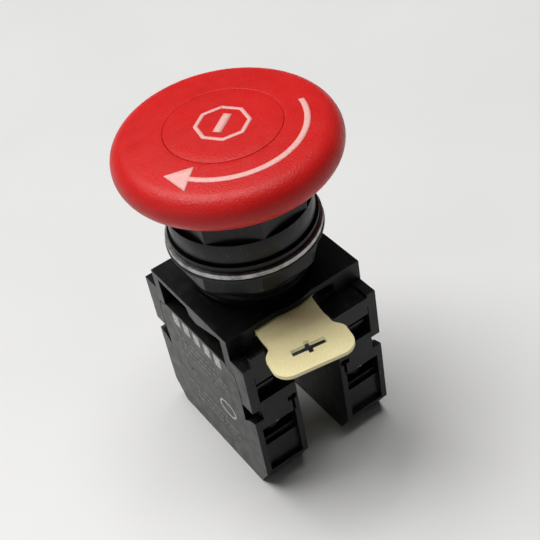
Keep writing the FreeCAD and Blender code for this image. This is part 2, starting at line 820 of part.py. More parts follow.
def outboard_outline():
    """Side view of a block's label side, which the adapter's legs hook into."""
    corners = [
        ("block_chamfer_y", "block_bottom"),
        ("block_half_y", "block_chamfer_z"),
        ("block_half_y", drop("label_edge_drop")),
        ("label_shoulder_y", drop("label_shoulder_drop")),
        ("label_neck_y", drop("label_neck_drop")),
        ("leg_tip_inner_y - leg_gap", drop("leg_tip_drop")),
        ("hook_throat_y - leg_gap", drop("hook_throat_drop")),
        ("hook_root_y - leg_gap", drop("hook_root_drop + leg_gap")),
        ("hook_shoulder_y - leg_gap", drop("hook_shoulder_drop")),
        ("window_half_y - leg_gap", "block_top"),
    ]
    return corners + [(minus(y), z) for y, z in reversed(corners)]


def cut_snap_notch(body, word, side, end, bar, stem_part):
    """One piece's share of the T-shaped notch over the seam between housing and cover."""
    notch_y = span(end, "block_half_y - snap_notch_depth", "block_half_y")
    pocket(body, f"{word}_notch_bar", "XZ_Plane", *notch_y,
           rectangle(*span(side, *bar), "snap_notch_bottom", "snap_notch_top"))
    pocket(body, f"{word}_notch_stem", "XZ_Plane", *notch_y,
           rectangle(*span(side, *stem_part), "pocket_top", "snap_notch_bottom"))


def cut_terminal(body, word, side, end):
    """One terminal's pocket with its stepped sill, the slot for its strip and its driver hole."""
    seam = "(block_inner_x + cover_thick)"
    mouth_x = span(side, seam, "block_outer_x - outer_wall")
    steps = (
        ("pocket", "pocket_depth", "pocket_sill", "pocket_top"),
        ("sill", "sill_depth", "sill_step", "pocket_sill"),
        ("recess", "recess_depth", "recess_bottom", "sill_step"),
    )
    for part, depth, low, high in steps:
        pocket(body, f"{word}_{part}", "XZ_Plane", *span(end, f"block_half_y - {depth}", "block_half_y"),
               rectangle(*mouth_x, low, high))
    strip_x = span(side, "block_centre_x - strip_half_x - plunger_gap",
                   "block_centre_x + strip_half_x + plunger_gap")
    pocket(body, f"{word}_strip_slot", "XZ_Plane", *span(end, "cavity_half_y", "block_half_y - pocket_depth"),
           rectangle(*strip_x, "strip_top - strip_thick - closed_gap", "strip_top + closed_gap"))
    centre = (f"{side} * block_centre_x", f"{end} * driver_hole_y")
    pocket_circle(body, f"{word}_head_room", "XY_Plane", "head_room_floor", "pocket_sill",
                  (*centre, "head_room_radius"))
    pocket_circle(body, f"{word}_driver_hole", "XY_Plane", "block_bottom", "head_room_floor",
                  (*centre, "driver_hole_radius"))


def block_housing(name, side):
    """Outer shell of a contact block, open on its inner side."""
    body = new_body(name)
    seam = "(block_inner_x + cover_thick)"
    shell_x = span(side, seam, "strip_inner_x")
    label_x = span(side, "strip_inner_x", "block_outer_x")
    pad(body, "shell", "YZ_Plane", *shell_x, inboard_outline())
    pad(body, "label_side", "YZ_Plane", *label_x, outboard_outline())
    hollow_x = span(side, seam, "block_outer_x - outer_wall")
    pocket(body, "contact_room", "YZ_Plane", *hollow_x,
           rectangle("-cavity_half_y", "cavity_half_y", "cavity_bottom", "well_floor - deck_thick"))
    pocket(body, "push_well", "YZ_Plane", *shell_x,
           rectangle("-well_half_y", "well_half_y", "well_floor", "adapter_top"))
    plunger_x = span(side, "block_centre_x - plunger_half_x - plunger_gap",
                     "block_centre_x + plunger_half_x + plunger_gap")
    pocket(body, "plunger_hole", "XY_Plane", "well_floor - deck_thick", "well_floor",
           rectangle(*plunger_x, "-plunger_half_y - plunger_gap", "plunger_half_y + plunger_gap"))
    for word, end in ENDS.items():
        cut_terminal(body, word, side, end)
        cut_snap_notch(body, word, side, end, (seam, "snap_notch_outer_x"),
                       (seam, f"{seam} + snap_stem_half"))
        catch_x = span(side, "catch_inner_x", "catch_outer_x")
        pad(body, f"{word}_catch_panel", "XY_Plane", "block_ledge", drop("catch_lip_drop"),
            rectangle(*catch_x, *span(end, "block_neck_y", "catch_panel_y")))
        pad(body, f"{word}_catch_lip", "XY_Plane", drop("catch_lip_drop"), drop("catch_top_drop"),
            rectangle(*catch_x, *span(end, "block_neck_y", "catch_lip_y")))
    return keep(body)


def block_cover(name, side):
    """Flat side cover that closes a block towards the empty middle position."""
    body = new_body(name)
    seam = "(block_inner_x + cover_thick)"
    cover_x = span(side, "block_inner_x", f"{seam} - closed_gap")
    pad(body, "panel", "YZ_Plane", *cover_x, inboard_outline())
    pocket(body, "push_well", "YZ_Plane", *cover_x,
           rectangle("-well_half_y", "well_half_y", "well_floor", "adapter_top"))
    for word, end in ENDS.items():
        cut_snap_notch(body, word, side, end, ("snap_notch_inner_x", seam),
                       (f"{seam} - snap_stem_half", seam))
    return keep(body)


def plunger(name, side, window_low, window_high):
    """Push rod of a block, with a window that carries the contact bridge and its spring."""
    body = new_body(name)
    rod_x = span(side, "block_centre_x - plunger_half_x", "block_centre_x + plunger_half_x")
    top = "tail_end - push_plate_thick - closed_gap"
    pad(body, "rod", "XY_Plane", "plunger_bottom", top,
        rectangle(*rod_x, "-plunger_half_y", "plunger_half_y"))
    slot_x = span(side, "block_centre_x - bridge_half_x - plunger_gap",
                  "block_centre_x + bridge_half_x + plunger_gap")
    pocket(body, "bridge_window", "XZ_Plane", "-plunger_half_y", "plunger_half_y",
           rectangle(*slot_x, window_low, window_high))
    return keep(body)


def contact_bridge(name, side, bottom, rivet_up):
    """Moving contact bar with a silver rivet at each end."""
    body = new_body(name)
    bar_x = span(side, "block_centre_x - bridge_half_x", "block_centre_x + bridge_half_x")
    top = f"{bottom} + bridge_thick"
    pad(body, "bar", "XY_Plane", bottom, top,
        rectangle(*bar_x, "-bridge_half_y", "bridge_half_y"))
    low, high = (top, f"{top} + rivet_height") if rivet_up else (f"{bottom} - rivet_height", bottom)
    for word, end in ENDS.items():
        pad_circle(body, f"{word}_rivet", "XY_Plane", low, high,
                   (f"{side} * block_centre_x", f"{end} * rivet_y", "rivet_radius"))
    return keep(body)


def terminal_strip(name, side, end):
    """Fixed contact: a flat bar from the wire clamp into the contact room."""
    body = new_body(name)
    bar_x = span(side, "block_centre_x - strip_half_x", "block_centre_x + strip_half_x")
    tip_y = f"{end} * (strip_outer_y - strip_half_x)"
    inner_y = f"{end} * strip_inner_y"
    tip_radius = f"{end} * strip_half_x"
    pad(body, "bar", "XY_Plane", "strip_top - strip_thick", "strip_top", [
        (bar_x[0], inner_y),
        (bar_x[0], tip_y, f"-{tip_radius}"),
        (f"{side} * block_centre_x", f"{end} * strip_outer_y", f"-{tip_radius}"),
        (bar_x[1], tip_y),
        (bar_x[1], inner_y),
    ])
    pocket_circle(body, "screw_hole", "XY_Plane", "strip_top - strip_thick", "strip_top",
                  (f"{side} * block_centre_x", f"{end} * driver_hole_y", "screw_radius"))
    return keep(body)


def group_of_four(name, make):
    """Four equal fasteners, one at each terminal, kept as one group of solids."""
    copies = []
    for side_word, side in SIDES.items():
        for end_word, end in ENDS.items():
            copies.append(make(f"{name}_{side_word}_{end_word}", side, end))
    group = doc.addObject("Part::Compound", name)
    group.Label = name
    group.Links = copies
    return keep(group)


def terminal_screw(name, side, end):
    """Slotted cheese-head screw that stands in a terminal with its head down."""
    body = new_body(name)
    turn(body, "shaft", [
        ("0", "screw_head_bottom"),
        ("screw_head_radius", "screw_head_bottom"),
        ("screw_head_radius", "screw_head_top"),
        ("screw_radius", "screw_head_top"),
        ("screw_radius", "screw_top"),
        ("0", "screw_top"),
    ])
    pocket(body, "slot", "XY_Plane", "screw_head_bottom", "screw_head_bottom + screw_slot_depth",
           rectangle("-screw_head_radius", "screw_head_radius", "-screw_slot_half", "screw_slot_half"))
    bind(body, "Placement.Base.x", f"{side} * block_centre_x")
    bind(body, "Placement.Base.y", f"{end} * driver_hole_y")
    return body


def terminal_clamp(name, side, end):
    """Square clamp plate that the screw head lifts against the wire."""
    body = new_body(name)
    pad(body, "plate", "XY_Plane", "screw_head_top", "clamp_top",
        rectangle("-clamp_half_x", "clamp_half_x", "-clamp_half_y", "clamp_half_y"))
    pocket_circle(body, "hole", "XY_Plane", "screw_head_top", "clamp_top",
                  ("0", "0", "clamp_hole_radius"))
    bind(body, "Placement.Base.x", f"{side} * block_centre_x")
    bind(body, "Placement.Base.y", f"{end} * driver_hole_y")
    return body


def contact_block(word, side, normally_closed):
    """One contact block: housing, cover, plunger, bridge, springs and terminals."""
    block_housing(f"{word}_block_housing", side)
    block_cover(f"{word}_block_cover", side)
    strip_bottom = "strip_top - strip_thick"
    if normally_closed:
        bridge_bottom = f"({strip_bottom} - closed_gap - rivet_height - bridge_thick)"
        window = ("plunger_bottom + window_floor_wall", f"{bridge_bottom} + bridge_thick + plunger_gap")
        spring = (window[0], bridge_bottom)
    else:
        bridge_bottom = "(strip_top + contact_gap + rivet_height)"
        window = (f"{bridge_bottom} - plunger_gap", "upper_window_top")
        spring = (f"{bridge_bottom} + bridge_thick", window[1])
    plunger(f"{word}_plunger", side, *window)
    contact_bridge(f"{word}_contact_bridge", side, bridge_bottom, normally_closed)
    centre = f"{side} * block_centre_x"
    keep(coil(f"{word}_contact_spring", "contact_coil_radius", "contact_wire", *spring,
              "contact_turns", centre))
    keep(coil(f"{word}_plunger_spring", "plunger_coil_radius", "plunger_wire",
              "cavity_bottom", "plunger_bottom", "plunger_turns", centre))
    for end_word, end in ENDS.items():
        terminal_strip(f"{word}_{end_word}_terminal", side, end)


def build():
    mushroom_cap()
    cap_inlay_disc()
    cap_screw()
    release_cam()
    stem()
    stem_clip()
    pressure_plate()
    bezel_body()
    ring("stem_seal", "hub_radius + running_gap", "seal_groove_radius", "seal_bottom", "seal_top")
    ring("trim_ring", "ring_seat_radius + running_gap", "ring_radius", "gasket_top", "ring_top")
    ring("panel_gasket", "shank_radius + shank_clear", "gasket_radius", "0", "gasket_top")
    mounting_nut()
    for word, side in SIDES.items():
        latch_pin(f"{word}_latch_pin", side)
    latch_springs()
    keep(coil("return_spring", "return_coil_radius", "return_wire",
              "bezel_floor", "spring_shoulder", "return_turns"))
    adapter_body()
    lock_lever()
    contact_block("left", -1, True)
    contact_block("right", 1, False)
    group_of_four("terminal_screws", terminal_screw)
    group_of_four("terminal_clamps", terminal_clamp)


def check():
    """Stops before anything is written if an object failed or a sub-part isn't a sound solid."""
    for thing in doc.Objects:
        if {"Invalid", "Error"} & set(thing.State):
            raise RuntimeError(f"{thing.Label} is {thing.State}")
    for piece in pieces:
        shape = piece.Shape
        if shape.isNull() or not shape.isValid() or not shape.Solids:
            raise RuntimeError(f"{piece.Label} has no sound solid")
        if any(solid.Volume <= 0 for solid in shape.Solids):
            raise RuntimeError(f"{piece.Label} has a solid turned inside out")


def write():
    os.makedirs("parts", exist_ok=True)
    for piece in pieces:
        piece.Shape.exportStep(f"parts/{piece.Label}.step")
        print(piece.Label, len(piece.Shape.Solids), round(piece.Shape.Volume, 2))


build()
doc.recompute()
check()
write()
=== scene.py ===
import json
import math
import random

import bmesh
import bpy
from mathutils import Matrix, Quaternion, Vector


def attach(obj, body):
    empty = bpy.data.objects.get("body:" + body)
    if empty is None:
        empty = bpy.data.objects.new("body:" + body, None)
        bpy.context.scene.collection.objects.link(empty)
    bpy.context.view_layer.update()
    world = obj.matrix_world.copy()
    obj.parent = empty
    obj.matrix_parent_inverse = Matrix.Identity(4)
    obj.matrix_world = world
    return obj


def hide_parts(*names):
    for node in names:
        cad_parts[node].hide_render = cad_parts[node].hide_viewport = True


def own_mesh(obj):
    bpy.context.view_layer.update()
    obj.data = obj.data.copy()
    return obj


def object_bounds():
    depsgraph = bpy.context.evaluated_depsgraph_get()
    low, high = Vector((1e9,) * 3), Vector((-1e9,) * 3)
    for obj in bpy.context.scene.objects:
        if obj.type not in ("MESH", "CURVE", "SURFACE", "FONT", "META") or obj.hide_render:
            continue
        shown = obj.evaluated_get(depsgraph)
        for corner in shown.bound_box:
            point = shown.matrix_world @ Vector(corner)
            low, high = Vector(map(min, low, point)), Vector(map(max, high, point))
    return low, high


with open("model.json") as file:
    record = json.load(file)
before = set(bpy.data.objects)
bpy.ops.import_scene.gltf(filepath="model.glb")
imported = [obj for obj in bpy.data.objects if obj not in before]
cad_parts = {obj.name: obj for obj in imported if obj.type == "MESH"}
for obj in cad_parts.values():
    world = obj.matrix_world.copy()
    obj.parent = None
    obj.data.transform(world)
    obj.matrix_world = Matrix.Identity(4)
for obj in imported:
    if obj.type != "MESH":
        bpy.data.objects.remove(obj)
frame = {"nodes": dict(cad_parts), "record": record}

BOX_AT_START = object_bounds()
MM = 0.001
FLOOR_SIZE = 2.4

# The head's dome, the left block's side and the prints' rise and thickness, in millimetres.
DOME_RADIUS = 153.5
DOME_TOP = 23.1
SIDE_X = 14.8
PRINT_RISE = 0.03
PRINT_THICK = 0.03

# Prints on the head: the turn arrow (degrees and millimetres), and an octagon with a bar.
ARROW_RADIUS = 14.1
ARROW_HALF = 0.52
ARROW_START = -14
ARROW_NECK = -147
ARROW_STEPS = 60
ARROW_TIP = (-14.3, -4.1)
ARROW_INNER = (-9.6, -6.05)
ARROW_OUTER = (-13.8, -9.6)
ARROW_HEAD_ROWS = 12
SIGN_TURN = 35
OCTAGON_RADIUS = 4.6
OCTAGON_LINE_HALF = 0.36
BAR_REACH = 2.6
BAR_HALF = 0.75

# Prints on the label side, as y and z: blocks, small print, a contact sign and an oval.
BLOCK_COUNT = 5
BLOCK_PITCH = 3.6
BLOCK_REAR_Y = 8.3
BLOCK_WIDTH = 2.2
BLOCK_Z = -19.0
BLOCK_HALF = 1.4
SMALL_PRINT_HALF = 0.3
SMALL_PRINT_PITCH = 1.65
SMALL_PRINT_EDGE = 9.4
SMALL_PRINT_UPPER = (-23.2, 4)
SMALL_PRINT_LOWER = (-37.0, 3)
CONTACT_LINE_HALF = 0.2
OVAL_MIDDLE = (-6.5, -33.0)
OVAL_REACH = (2.6, 1.8)
OVAL_LINE_HALF = 0.24

# The thread ridge between the nut and the adapter.
THREAD_ROOT = 10.8
THREAD_CREST = 11.25
THREAD_PITCH = 1.5
THREAD_TOP = -4.8
THREAD_BOTTOM = -8.7
THREAD_STEPS = 96
THREAD_FADE = 12
THREAD_FOOT_HALF = 0.62
THREAD_TIP_HALF = 0.12

# The camera stands where the reference view was taken from.
CAMERA_PLACE = (-68.22 * MM, -136.40 * MM, 129.18 * MM)
CAMERA_AZIMUTH = -27.97
CAMERA_ELEVATION = 42.70
CAMERA_ROLL = -11.17
CAMERA_LENS = 74.28
CAMERA_SENSOR = 36.0
CAMERA_SHIFT = (-0.0079, -0.0011)


class Nodes:
    """Builds a node tree with short calls."""

    def __init__(self, tree):
        tree.nodes.clear()
        self.tree = tree

    def add(self, kind, inputs=None, **settings):
        node = self.tree.nodes.new(kind)
        for name, setting in settings.items():
            setattr(node, name, setting)
        for name, source in (inputs or {}).items():
            self.feed(node.inputs[name], source)
        return node

    def feed(self, socket, source):
        if isinstance(source, bpy.types.NodeSocket):
            self.tree.links.new(source, socket)
        else:
            socket.default_value = source

    def math(self, operation, a, b=0.0, clamp=False):
        node = self.add("ShaderNodeMath", {0: a, 1: b}, operation=operation, use_clamp=clamp)
        return node.outputs[0]

    def mix(self, share, a, b):
        node = self.add("ShaderNodeMix", {"Factor": share}, data_type="RGBA")
        colours = [s for s in node.inputs if s.type == "RGBA"]
        for socket, colour in zip(colours, (a, b)):
            self.feed(socket, colour)
        return next(s for s in node.outputs if s.type == "RGBA")

    def ramp(self, source, low, high, to_low=0.0, to_high=1.0):
        node = self.add("ShaderNodeMapRange", {"Value": source, "From Min": low, "From Max": high,
                                               "To Min": to_low, "To Max": to_high})
        return node.outputs["Result"]

    def noise(self, place, size_mm, detail=2.0, distortion=0.0):
        inputs = {"Vector": place, "Scale": 1 / (size_mm * MM), "Detail": detail,
                  "Distortion": distortion}
        return self.add("ShaderNodeTexNoise", inputs).outputs["Fac"]

    def edges(self, radius_mm):
        """How far the surface bends away from its own facet within a radius: 1 on a sharp edge."""
        rounded = self.add("ShaderNodeBevel", {"Radius": radius_mm * MM}, samples=6)
        flat = self.add("ShaderNodeNewGeometry")
        normals = {0: rounded.outputs["Normal"], 1: flat.outputs["Normal"]}
        dot = self.add("ShaderNodeVectorMath", normals, operation="DOT_PRODUCT")
        return self.ramp(dot.outputs["Value"], 0.99, 0.75)


def rgba(colour):
    return (*colour, 1.0)


def shade(colour, factor):
    return tuple(min(1.0, c * factor) for c in colour)


def plastic(name, colour, rough, grain_mm, grain_depth_mm, tone=0.82, edge_wear_and_highlight=None, edge_wear_and_highlight_share=0.0,
            dust=0.0, dust_colour=(0.6, 0.6, 0.58), scuff=0.0, subsurface=0.0, shine=0.5):
    """Moulded plastic: fine grain, uneven tone, lighter sharp edges that are a painted edge
    highlight with some rub wear, dust specks and scuffs.
    """
    material = bpy.data.materials.new(name)
    material.use_nodes = True
    n = Nodes(material.node_tree)
    place = n.add("ShaderNodeTexCoord").outputs["Object"]
    broad = n.noise(place, 9.0, 3.0)
    base = n.mix(n.ramp(broad, 0.35, 0.65), rgba(shade(colour, tone)), rgba(colour))
    fine = n.noise(place, grain_mm, 2.0)
    base = n.mix(n.ramp(fine, 0.35, 0.7, 0.0, 0.35), base, rgba(shade(colour, 1.25)))
    roughness = n.ramp(n.noise(place, 2.5, 3.0), 0.3, 0.7, rough - 0.06, rough + 0.08)
    if scuff:
        streaks = n.add("ShaderNodeMapping", {"Vector": place, "Rotation": (0.4, 0.2, 0.5),
                                              "Scale": (1.0, 0.12, 0.3)}).outputs["Vector"]
        worn = n.ramp(n.noise(streaks, 0.5, 4.0, 0.6), 0.62, 0.72, 0.0, scuff)
        base = n.mix(worn, base, rgba(shade(dust_colour, 0.5)))
        roughness = n.math("ADD", roughness, n.math("MULTIPLY", worn, 0.25))
    # Sharp edges are mixed towards a lighter colour: a painted edge highlight, with some rub wear.
    if edge_wear_and_highlight:
        uneven = n.ramp(n.noise(place, 1.1, 3.0), 0.3, 0.62, 0.25, 1.0)
        rubbed_and_highlit = n.math("MULTIPLY", n.edges(0.22), uneven)
        base = n.mix(n.math("MULTIPLY", rubbed_and_highlit, edge_wear_and_highlight_share), base, rgba(edge_wear_and_highlight))
    if dust:
        speck = n.ramp(n.noise(place, 0.28, 1.0), 0.76, 0.8, 0.0, 1.0)
        patch = n.ramp(n.noise(place, 5.0, 2.0), 0.5, 0.68, 0.0, dust)
        base = n.mix(n.math("MULTIPLY", speck, patch), base, rgba(dust_colour))
    bump = n.add("ShaderNodeBump", {"Height": fine, "Strength": 1.0,
                                    "Distance": grain_depth_mm * MM})
    shader = n.add("ShaderNodeBsdfPrincipled", {
        "Base Color": base, "Roughness": roughness, "Normal": bump.outputs["Normal"],
        "Specular IOR Level": shine,
        "Subsurface Weight": subsurface, "Subsurface Radius": shade(colour, 1.0),
        "Subsurface Scale": 0.8 * MM,
    })
    n.add("ShaderNodeOutputMaterial", {"Surface": shader.outputs["BSDF"]})
    return material


def metal(name, colour, rough, wear=(0.25, 0.25, 0.25), wear_share=0.5, lines=None, grain_mm=0.2):
    """Plated or turned metal with dull patches. lines squeezes the grain along an axis."""
    material = bpy.data.materials.new(name)
    material.use_nodes = True
    n = Nodes(material.node_tree)
    place = n.add("ShaderNodeTexCoord").outputs["Object"]
    stretched = n.add("ShaderNodeMapping", {"Vector": place, "Scale": lines or (1.0, 1.0, 1.0)})
    grain = n.noise(stretched.outputs["Vector"], grain_mm, 3.0)
    patch = n.ramp(n.noise(place, 1.6, 4.0), 0.42, 0.62, 0.0, wear_share)
    base = n.mix(patch, rgba(colour), rgba(wear))
    roughness = n.ramp(grain, 0.3, 0.7, rough - 0.08, rough + 0.15)
    bump = n.add("ShaderNodeBump", {"Height": grain, "Strength": 0.6, "Distance": 0.012 * MM})
    shader = n.add("ShaderNodeBsdfPrincipled", {
        "Base Color": base, "Metallic": 0.9, "Roughness": roughness,
        "Normal": bump.outputs["Normal"],
    })
    n.add("ShaderNodeOutputMaterial", {"Surface": shader.outputs["BSDF"]})
    return material


def ink(name, colour, worn_to, worn_share, wear_mm):
    """Printed paint with worn spots."""
    material = bpy.data.materials.new(name)
    material.use_nodes = True
    n = Nodes(material.node_tree)
    place = n.add("ShaderNodeTexCoord").outputs["Object"]
    spots = n.ramp(n.noise(place, wear_mm, 4.0), 0.5, 0.66, 0.0, worn_share)
    base = n.mix(spots, rgba(colour), rgba(worn_to))
    bump = n.add("ShaderNodeBump", {"Height": n.noise(place, 0.15), "Strength": 0.5,
                                    "Distance": 0.01 * MM})
    shader = n.add("ShaderNodeBsdfPrincipled", {
        "Base Color": base, "Roughness": 0.55, "Normal": bump.outputs["Normal"],
    })
    n.add("ShaderNodeOutputMaterial", {"Surface": shader.outputs["BSDF"]})
    return material


def floor_material():
    material = bpy.data.materials.new("table_top")
    material.use_nodes = True
    n = Nodes(material.node_tree)
    place = n.add("ShaderNodeTexCoord").outputs["Object"]
    cloud = n.ramp(n.noise(place, 60.0, 4.0), 0.3, 0.7)
    base = n.mix(cloud, rgba((0.65, 0.65, 0.645)), rgba((0.675, 0.675, 0.67)))
    fine = n.noise(place, 1.2, 3.0)
    roughness = n.ramp(n.noise(place, 25.0, 3.0), 0.3, 0.7, 0.36, 0.42)
    bump = n.add("ShaderNodeBump", {"Height": fine, "Strength": 0.3, "Distance": 0.03 * MM})
    shader = n.add("ShaderNodeBsdfPrincipled", {
        "Base Color": base, "Roughness": roughness, "Normal": bump.outputs["Normal"],
    })
    n.add("ShaderNodeOutputMaterial", {"Surface": shader.outputs["BSDF"]})
    return material


def slot_materials():
    """One procedural material for each material slot of the record."""
    return {
        "red_plastic": plastic("red_plastic", (0.54, 0.012, 0.011), 0.38, 0.3, 0.085, tone=0.9,
                               dust=0.25, dust_colour=(0.85, 0.35, 0.3), subsurface=0.03,
                               shine=0.26),
        # Black and cream plastic take a lighter edge colour: a painted edge highlight with some rub
        # wear.
        "black_plastic": plastic("black_plastic", (0.0055, 0.0055, 0.006), 0.33, 0.3, 0.012,
                                 tone=0.75, edge_wear_and_highlight=(0.05, 0.05, 0.053), edge_wear_and_highlight_share=0.7, dust=0.9,
                                 scuff=0.06, shine=0.26),
        "cream_plastic": plastic("cream_plastic", (0.86, 0.77, 0.43), 0.42, 0.4, 0.008, tone=0.93,
                                 edge_wear_and_highlight=(0.9, 0.84, 0.6), edge_wear_and_highlight_share=0.5, dust=0.2,
                                 dust_colour=(0.35, 0.3, 0.2), subsurface=0.12, shine=0.4),
        "white_plastic": plastic("white_plastic", (0.72, 0.72, 0.68), 0.45, 0.3, 0.008),
        "grey_plastic": plastic("grey_plastic", (0.14, 0.14, 0.15), 0.45, 0.3, 0.008),
        "seal_rubber": plastic("seal_rubber", (0.012, 0.012, 0.013), 0.7, 0.25, 0.02, dust=0.3),
        "ring_metal": metal("ring_metal", (0.52, 0.53, 0.54), 0.45, wear=(0.2, 0.2, 0.205),
                            wear_share=0.7, lines=(1.0, 1.0, 4.0)),
        "steel": metal("steel", (0.62, 0.61, 0.58), 0.3, wear=(0.35, 0.33, 0.28), wear_share=0.4),
        "spring_steel": metal("spring_steel", (0.5, 0.5, 0.51), 0.28),
        "contact_copper": metal("contact_copper", (0.66, 0.52, 0.34), 0.32, wear=(0.4, 0.26, 0.16)),
        "terminal_tin": metal("terminal_tin", (0.62, 0.61, 0.58), 0.22, wear=(0.12, 0.11, 0.1),
                              wear_share=0.9, grain_mm=0.5),
        # The terminal screws are coloured near black: painted shade of the dark terminal pockets
        # they sit in.
        "dark_steel": metal("dark_steel", (0.035, 0.035, 0.037), 0.45, wear=(0.015, 0.015, 0.016)),
    }


def dress_cad(materials):
    """Gives each CAD node its slot's material and rounded edges."""
    slots = {row["node"]: row["material_slot"] for row in frame["record"]["subparts"]}
    widths = {"black_plastic": 0.16, "red_plastic": 0.14, "cream_plastic": 0.14,
              "grey_plastic": 0.15, "white_plastic": 0.15, "seal_rubber": 0.1, "ring_metal": 0.12,
              "steel": 0.12, "contact_copper": 0.06, "terminal_tin": 0.06, "dark_steel": 0.1,
              "spring_steel": 0.0}
    for name, thing in frame["nodes"].items():
        slot = slots[name]
        thing.data.materials.clear()
        thing.data.materials.append(materials[slot])
        if widths[slot]:
            weld = thing.modifiers.new("weld", "WELD")
            weld.merge_threshold = 0.002 * MM
            bevel = thing.modifiers.new("round_edges", "BEVEL")
            bevel.width = widths[slot] * MM
            bevel.segments = 3
            bevel.limit_method = "ANGLE"
            bevel.angle_limit = math.radians(32)
            bevel.harden_normals = False
            bevel.use_clamp_overlap = True


def mesh_object(name, points, faces, material, body, smooth=True):
    """A piece from points in millimetres, riding on a body."""
    mesh = bpy.data.meshes.new(name)
    mesh.from_pydata([Vector(p) * MM for p in points], [], faces)
    work = bmesh.new()
    work.from_mesh(mesh)
    bmesh.ops.recalc_face_normals(work, faces=work.faces)
    work.to_mesh(mesh)
    work.free()
    for polygon in mesh.polygons:
        polygon.use_smooth = smooth
    mesh.materials.append(material)
    piece = bpy.data.objects.new(name, mesh)
    bpy.context.scene.collection.objects.link(piece)
    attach(piece, body)
    return piece


def slab(bottom, top):
    """Points and faces of a closed strip between two equal grids of rows: bottom and top."""
    rows, columns = len(top), len(top[0])
    points = [p for grid in (bottom, top) for row in grid for p in row]
    layer = rows * columns
    faces = []
    for i in range(rows - 1):
        for j in range(columns - 1):
            a = i * columns + j
            quad = (a, a + 1, a + columns + 1, a + columns)
            faces.append(quad[::-1])
            faces.append(tuple(layer + k for k in quad))
    border = [i * columns for i in range(rows)]
    border += [(rows - 1) * columns + j for j in range(1, columns)]
    border += [i * columns + columns - 1 for i in range(rows - 2, -1, -1)]
    border += [j for j in range(columns - 2, 0, -1)]
    for a, b in zip(border, border[1:] + border[:1]):
        faces.append((a, b, layer + b, layer + a))
    return points, faces


def dome_z(radius):
    return DOME_TOP - DOME_RADIUS + math.sqrt(DOME_RADIUS ** 2 - radius ** 2)


def on_dome(x, y, rise):
    return (x, y, dome_z(math.hypot(x, y)) + rise)


def dome_print(name, rows, material):
    """A flat print on the head's dome: rows of (x, y) points."""
    low = [[on_dome(x, y, -PRINT_THICK) for x, y in row] for row in rows]
    high = [[on_dome(x, y, PRINT_RISE) for x, y in row] for row in rows]
    points, faces = slab(low, high)
    return mesh_object(name, points, faces, material, "head")


def turn_arrow(material):
    """Curved arrow that shows the release turn, clockwise from above."""
    start, neck = math.radians(ARROW_START), math.radians(ARROW_NECK)
    rows = []
    for i in range(ARROW_STEPS + 1):
        angle = start + (neck - start) * i / ARROW_STEPS
        radii = [ARROW_RADIUS + s * ARROW_HALF for s in (-1.0, -0.33, 0.33, 1.0)]
        rows.append([(radius * math.cos(angle), radius * math.sin(angle)) for radius in radii])
    dome_print("turn_arrow_shaft", rows, material)
    tip, inner, outer = Vector(ARROW_TIP), Vector(ARROW_INNER), Vector(ARROW_OUTER)
    rows = []
    for i in range(ARROW_HEAD_ROWS + 1):
        share = min(i / ARROW_HEAD_ROWS, 0.995)
        left, right = inner.lerp(tip, share), outer.lerp(tip, share)
        rows.append([tuple(left.lerp(right, k / 4)) for k in range(5)])
    dome_print("turn_arrow_head", rows, material)


def stroke_rows(points, half, closed=False, step=0.4):
    """Rows across a line of the given half width that follows points, with mitred corners."""
    count = len(points)
    rows = []
    for i in range(count):
        here = Vector(points[i])
        before = Vector(points[i - 1]) if closed or i else None
        after = Vector(points[(i + 1) % count]) if closed or i < count - 1 else None
        way_in = (here - before).normalized() if before is not None else (after - here).normalized()
        way_out = (after - here).normalized() if after is not None else way_in
        across = Vector((-(way_in + way_out).y, (way_in + way_out).x)).normalized()
        reach = half / max(across.dot(Vector((-way_in.y, way_in.x))), 0.3)
        rows.append([tuple(here + across * reach * s) for s in (-1.0, 1.0)])
    if closed:
        rows.append(rows[0])
    fine = []
    for first, second in zip(rows, rows[1:]):
        parts = max(1, int((Vector(second[0]) - Vector(first[0])).length / step))
        for k in range(parts):
            pairs = zip(first, second)
            fine.append([tuple(Vector(a).lerp(Vector(b), k / parts)) for a, b in pairs])
    fine.append(rows[-1])
    return fine


def stop_pictogram(material):
    """A plain octagon with a bar inside, in place of lettering."""
    turned = math.radians(SIGN_TURN)
    corners = []
    for i in range(8):
        angle = turned + math.radians(22.5 + 45 * i)
        corners.append((OCTAGON_RADIUS * math.cos(angle), OCTAGON_RADIUS * math.sin(angle)))
    octagon = stroke_rows(corners, OCTAGON_LINE_HALF, closed=True)
    dome_print("stop_octagon", octagon, material)
    along = Vector((math.cos(turned), math.sin(turned)))
    bar = [tuple(along * s * BAR_REACH) for s in (-1.0, 1.0)]
    dome_print("stop_bar", stroke_rows(bar, BAR_HALF), material)


def side_mark(name, strips, material):
    """Flat prints on the left block's outer side: each strip is rows of (y, z) points."""
    points, faces = [], []
    for rows in strips:
        low = [[(-SIDE_X + PRINT_THICK, y, z) for y, z in row] for row in rows]
        high = [[(-SIDE_X - PRINT_THICK, y, z) for y, z in row] for row in rows]
        strip_points, strip_faces = slab(low, high)
        faces += [tuple(len(points) + k for k in face) for face in strip_faces]
        points += strip_points
    return mesh_object(name, points, faces, material, "base", smooth=False)


def label_dashes(top, rows):
    """Short dashes in rows, uneven in length, that stand for small print."""
    chance = random.Random(5)
    strips = []
    for i in range(rows):
        z = top - SMALL_PRINT_PITCH * i
        low, high = z - SMALL_PRINT_HALF, z + SMALL_PRINT_HALF
        y = SMALL_PRINT_EDGE - chance.uniform(0.0, 1.2)
        end = chance.uniform(-SMALL_PRINT_EDGE, -3.0)
        while y > end:
            length = chance.uniform(0.5, 1.7)
            strips.append([[(y, low), (y, high)], [(y - length, low), (y - length, high)]])
            y -= length + chance.uniform(0.3, 0.6)
    return strips


